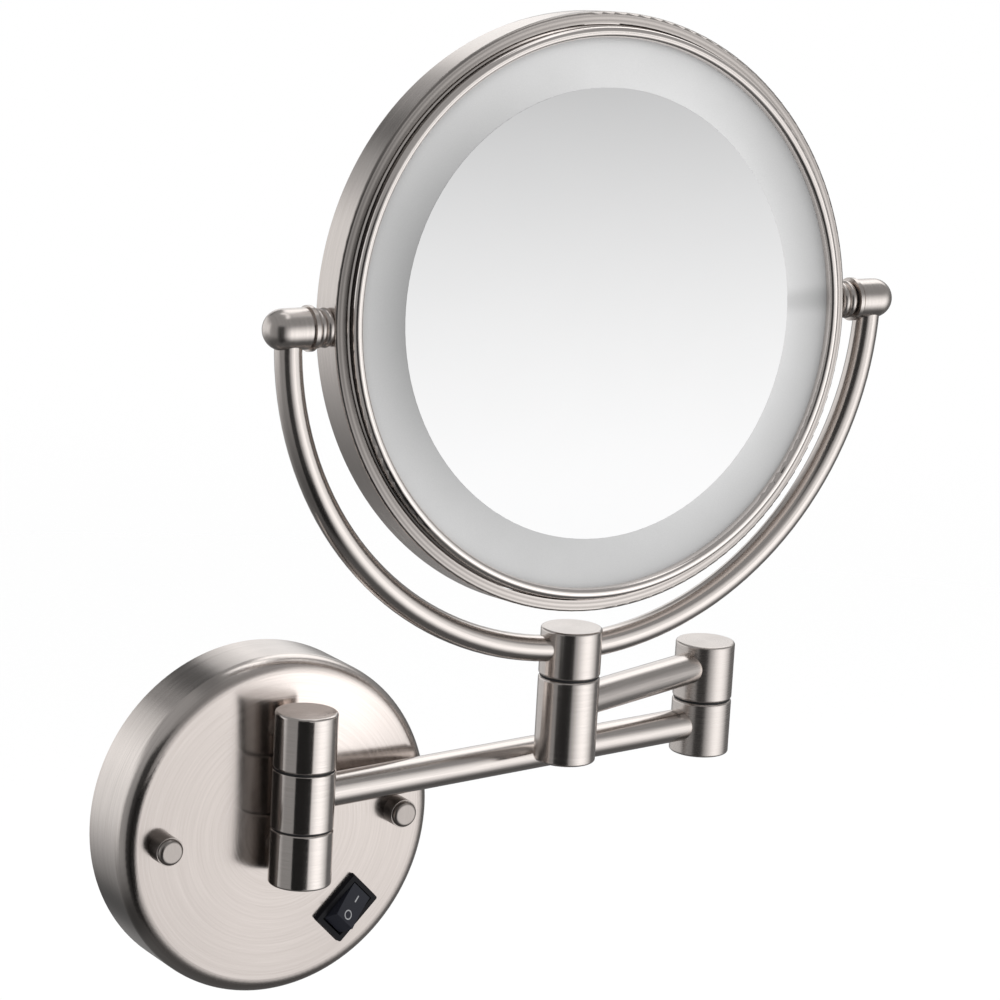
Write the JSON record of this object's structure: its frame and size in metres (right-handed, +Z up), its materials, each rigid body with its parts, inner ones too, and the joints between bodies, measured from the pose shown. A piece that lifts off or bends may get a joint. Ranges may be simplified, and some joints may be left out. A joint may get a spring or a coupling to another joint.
{
  "type": "extendable shaving mirror",
  "caption": "Round lit shaving mirror in a tilting yoke on a folding wall arm, with a round wall plate, rocker switch and satin nickel finish.",
  "frame": {"origin": "middle of the wall plate's back, on the wall", "axes": "+Z up, +Y into the wall, +X to the right as seen from the room"},
  "size_m": [0.2891, 0.0614, 0.3401],
  "materials": {
    "satin_nickel": "satin brushed nickel plate",
    "plated_steel": "zinc plated",
    "brass": "machined",
    "black_nylon": "matt",
    "black_rubber": "matt",
    "black_plastic": "fine satin moulding",
    "grey_lead": "matt insulation",
    "front_mirror_glass": "silvered in the middle, frosted ring",
    "rear_mirror_glass": "silvered",
    "white_plastic": "matt moulding",
    "opal_acrylic": "opal",
    "white_board": "solder mask",
    "led": "phosphor"
  },
  "bodies": {
    "wall_mount": {"wall_bracket": "plated_steel", "cable_grommet": "black_rubber", "bracket_studs": "plated_steel", "wall_plate": "satin_nickel", "cap_nuts": "satin_nickel", "knuckle_stems": "satin_nickel", "stem_nuts": "plated_steel", "top_knuckle": "satin_nickel", "bottom_knuckle": "satin_nickel", "wall_hinge_pin": "plated_steel", "wall_hinge_washers": "black_nylon", "switch_housing": "black_plastic", "switch_terminals": "brass", "led_driver": "white_plastic"},
    "rocker": {"switch_rocker": "black_plastic"},
    "inner_arm": {"inner_arm_knuckle": "satin_nickel", "inner_arm_bush": "brass", "inner_arm_tube": "satin_nickel", "inner_arm_lead": "grey_lead", "elbow_lower_knuckle": "satin_nickel", "elbow_bush": "brass", "elbow_washer": "black_nylon", "elbow_cap": "satin_nickel"},
    "outer_arm": {"elbow_upper_knuckle": "satin_nickel", "elbow_pin": "plated_steel", "elbow_nut": "plated_steel", "elbow_spring": "plated_steel", "outer_arm_tube": "satin_nickel", "outer_arm_lead": "grey_lead", "front_lower_knuckle": "satin_nickel", "swivel_bush": "brass", "swivel_washer": "black_nylon", "swivel_cap": "satin_nickel"},
    "yoke": {"front_upper_knuckle": "satin_nickel", "swivel_pin": "plated_steel", "swivel_nut": "plated_steel", "swivel_spring": "plated_steel", "yoke_tube": "satin_nickel", "yoke_lead": "grey_lead", "left_finial": "satin_nickel", "right_finial": "satin_nickel", "pivot_pins": "plated_steel"},
    "mirror_head": {"drum": "satin_nickel", "front_bezel": "satin_nickel", "rear_bezel": "satin_nickel", "front_mirror": "front_mirror_glass", "rear_mirror": "rear_mirror_glass", "light_tray": "white_plastic", "diffuser": "opal_acrylic", "led_board": "white_board", "led_chips": "led", "left_trunnion": "satin_nickel", "right_trunnion": "satin_nickel", "trunnion_nuts": "plated_steel", "pivot_washers": "black_nylon"}
  },
  "joints": [
    {"name": "wall_hinge", "type": "hinge", "parent": "wall_mount", "child": "inner_arm", "pos_m": [0, -0.0395, 0.01605], "axis": [0, 0, -1], "range_deg": [-1, 196]},
    {"name": "elbow_hinge", "type": "hinge", "parent": "inner_arm", "child": "outer_arm", "pos_m": [0.18005, -0.0158, 0.0379], "axis": [0, 0, 1], "range_deg": [0, 336.4]},
    {"name": "yoke_swivel", "type": "hinge", "parent": "outer_arm", "child": "yoke", "pos_m": [0.10284, -0.04283, 0.0491], "axis": [0, 0, 1], "range_deg": [-170, 170]},
    {"name": "mirror_tilt", "type": "hinge", "parent": "yoke", "child": "mirror_head", "pos_m": [0.10284, -0.04283, 0.1772], "axis": [0.9998, -0.0175, 0], "range_deg": [-180, 180]},
    {"name": "switch_rock", "type": "hinge", "parent": "wall_mount", "child": "rocker", "pos_m": [0.02654, -0.02252, -0.03188], "axis": [0.7123, 0.0518, -0.7], "range_deg": [0, 34]}
  ]
}
